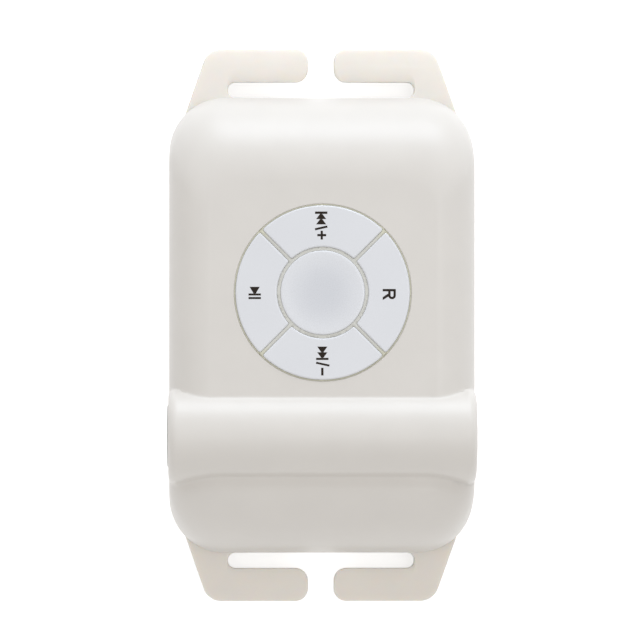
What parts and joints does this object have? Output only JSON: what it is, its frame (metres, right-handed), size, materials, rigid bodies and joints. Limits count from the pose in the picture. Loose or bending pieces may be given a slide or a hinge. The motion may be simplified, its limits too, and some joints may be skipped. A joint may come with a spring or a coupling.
{
  "type": "digital audio player",
  "caption": "Small sealed player with strap lugs at both ends, a round keypad of ring keys about a dished centre key, and a headphone jack in a raised barrel across the face.",
  "frame": {"origin": "centre of the player's flat back, on which it lies", "axes": "+Z out of the face with the keys, +Y along the strap towards the end away from the barrel, -X out of the headphone jack"},
  "size_m": [0.0333, 0.06, 0.0152],
  "materials": {
    "front_shell_plastic": "satin moulded cream-white plastic",
    "rear_shell_plastic": "satin moulded plastic, a little creamier",
    "key_plastic": "smooth cool-white plastic with dark printed legends",
    "centre_key_plastic": "polished translucent white plastic",
    "seal_silicone": "matt silicone",
    "gasket_rubber": "matt grey rubber",
    "black_plastic": "matt black moulding",
    "plunger_plastic": "matt off-white moulding",
    "led_lens": "clear cast resin",
    "board_laminate": "green solder mask on laminate",
    "chip_epoxy": "matt black epoxy",
    "ceramic": "tan ceramic",
    "steel": "zinc-plated",
    "contact_metal": "gold-flashed",
    "collar_metal": "dark plated",
    "pouch_foil": "satin foil",
    "foam_pad": "black adhesive foam",
    "red_insulation": "smooth",
    "black_insulation": "smooth",
    "flex_film": "amber film"
  },
  "bodies": {
    "case": {"front_shell": "front_shell_plastic", "rear_shell": "rear_shell_plastic", "case_gasket": "gasket_rubber", "case_screw_1": "steel", "case_screw_2": "steel", "case_screw_3": "steel", "case_screw_4": "steel", "keypad_seal": "seal_silicone", "keypad_clamp_ring": "black_plastic", "switch_previous": "black_plastic", "switch_next": "black_plastic", "switch_play_pause": "black_plastic", "switch_repeat": "black_plastic", "switch_centre": "black_plastic", "main_board": "board_laminate", "board_screw_1": "steel", "board_screw_2": "steel", "board_screw_3": "steel", "board_screw_4": "steel", "flash_memory": "chip_epoxy", "processor": "chip_epoxy", "crystal": "steel", "power_inductor": "chip_epoxy", "indicator_led": "led_lens", "capacitor_1": "ceramic", "capacitor_2": "ceramic", "capacitor_3": "ceramic", "battery_cell": "pouch_foil", "battery_pad": "foam_pad", "battery_protection_board": "board_laminate", "battery_lead_red": "red_insulation", "battery_lead_black": "black_insulation", "jack_collar": "collar_metal", "jack_o_ring": "gasket_rubber", "jack_housing": "black_plastic", "jack_contact_sleeve": "contact_metal", "jack_contact_microphone": "contact_metal", "jack_contact_ring": "contact_metal", "jack_contact_tip": "contact_metal", "jack_flex_cable": "flex_film"},
    "previous_key": {"key_previous": "key_plastic", "plunger_previous": "plunger_plastic"},
    "next_key": {"key_next": "key_plastic", "plunger_next": "plunger_plastic"},
    "play_pause_key": {"key_play_pause": "key_plastic", "plunger_play_pause": "plunger_plastic"},
    "repeat_key": {"key_repeat": "key_plastic", "plunger_repeat": "plunger_plastic"},
    "centre_key": {"key_centre": "centre_key_plastic", "plunger_centre": "plunger_plastic"}
  },
  "joints": [
    {"name": "previous_press", "type": "slide", "parent": "case", "child": "previous_key", "axis": [0, 0, -1], "range_m": [0, 0.00025], "stiffness_N_per_m": 2000},
    {"name": "next_press", "type": "slide", "parent": "case", "child": "next_key", "axis": [0, 0, -1], "range_m": [0, 0.00025], "stiffness_N_per_m": 2000},
    {"name": "play_pause_press", "type": "slide", "parent": "case", "child": "play_pause_key", "axis": [0, 0, -1], "range_m": [0, 0.00025], "stiffness_N_per_m": 2000},
    {"name": "repeat_press", "type": "slide", "parent": "case", "child": "repeat_key", "axis": [0, 0, -1], "range_m": [0, 0.00025], "stiffness_N_per_m": 2000},
    {"name": "centre_press", "type": "slide", "parent": "case", "child": "centre_key", "axis": [0, 0, -1], "range_m": [0, 0.00025], "stiffness_N_per_m": 2000}
  ]
}
